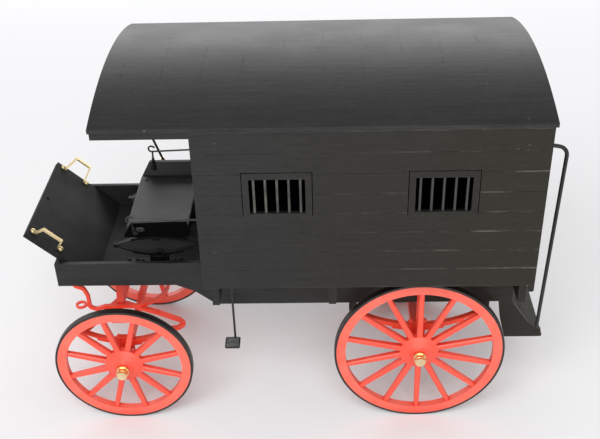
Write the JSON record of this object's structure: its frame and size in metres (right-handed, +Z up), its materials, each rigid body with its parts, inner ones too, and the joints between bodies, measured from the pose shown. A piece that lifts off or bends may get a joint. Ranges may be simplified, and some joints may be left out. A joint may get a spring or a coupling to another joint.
{
  "type": "model jail wagon",
  "caption": "Horse-drawn jail wagon model: closed planked body with barred windows, arched roof over the driver's seat, spoked wheels and a turntable front gear.",
  "frame": {"origin": "on the ground, midway along the length and across the width", "axes": "+X to the rear, +Y to the wagon's right-hand side, +Z up"},
  "size_m": [0.3186, 0.147, 0.231],
  "materials": {
    "roof_black": "satin black paint over narrow boards",
    "black_wood": "satin black paint",
    "black_iron": "satin black paint",
    "red_gear": "satin vermilion paint",
    "red_wheel": "satin vermilion paint",
    "black_tyre": "satin black paint",
    "brass": "polished"
  },
  "bodies": {
    "body": {"axle_stays": "black_iron", "body_floor": "black_wood", "brake_lever": "black_iron", "chassis_sills": "black_wood", "corner_post_feet": "black_wood", "dash_board": "black_wood", "dash_handles": "brass", "footwell_floor": "black_wood", "footwell_front": "black_wood", "footwell_riser": "black_wood", "front_wall": "black_wood", "handrails": "black_iron", "hinge_leaves": "black_iron", "king_pin": "black_iron", "lever_ferrule": "brass", "mounting_steps": "black_iron", "outriggers": "black_wood", "overhang_bow": "black_wood", "overhang_headers": "black_wood", "rear_axle": "red_gear", "rear_hub_nuts": "brass", "rear_springs": "red_gear", "rear_wall": "black_wood", "roof": "roof_black", "seat_base": "black_wood", "seat_board": "black_wood", "seat_rails": "black_iron", "seat_sides": "black_wood", "seat_springs": "black_iron", "side_wall_left": "black_wood", "side_wall_right": "black_wood", "spring_blocks": "black_wood", "spring_hangers": "black_iron", "step_stringers": "black_wood", "step_treads": "black_wood", "turntable_upper": "black_iron", "upper_bolster": "black_wood", "window_bars": "black_iron", "window_frames": "black_wood"},
    "turntable": {"turntable_lower": "red_gear", "front_bolster": "red_gear", "front_axle": "red_gear", "front_springs": "red_gear", "front_platform": "red_gear", "hounds": "red_gear", "pole_irons": "red_gear", "front_hub_nuts": "brass"},
    "front_left": {"front_left_wheel": "red_wheel", "front_left_tyre": "black_tyre"},
    "front_right": {"front_right_wheel": "red_wheel", "front_right_tyre": "black_tyre"},
    "rear_left": {"rear_left_wheel": "red_wheel", "rear_left_tyre": "black_tyre"},
    "rear_right": {"rear_right_wheel": "red_wheel", "rear_right_tyre": "black_tyre"},
    "door": {"rear_door": "black_wood", "door_bars": "black_iron", "door_straps": "black_iron", "door_latch": "black_iron"}
  },
  "joints": [
    {"name": "turntable_turn", "type": "hinge", "parent": "body", "child": "turntable", "pos_m": [-0.10603, 0, 0.086], "axis": [0, 0, 1], "range_deg": [-45, 45]},
    {"name": "front_left_wheel_spin", "type": "hinge", "parent": "turntable", "child": "front_left", "pos_m": [-0.10603, -0.058, 0.0436], "axis": [0, -1, 0], "continuous": true},
    {"name": "front_right_wheel_spin", "type": "hinge", "parent": "turntable", "child": "front_right", "pos_m": [-0.10603, 0.058, 0.0436], "axis": [0, -1, 0], "continuous": true},
    {"name": "rear_left_wheel_spin", "type": "hinge", "parent": "body", "child": "rear_left", "pos_m": [0.08037, -0.058, 0.053], "axis": [0, -1, 0], "continuous": true},
    {"name": "rear_right_wheel_spin", "type": "hinge", "parent": "body", "child": "rear_right", "pos_m": [0.08037, 0.058, 0.053], "axis": [0, -1, 0], "continuous": true},
    {"name": "door_swing", "type": "hinge", "parent": "body", "child": "door", "pos_m": [0.14437, 0.02725, 0.16], "axis": [0, 0, 1], "range_deg": [0, 100]}
  ]
}
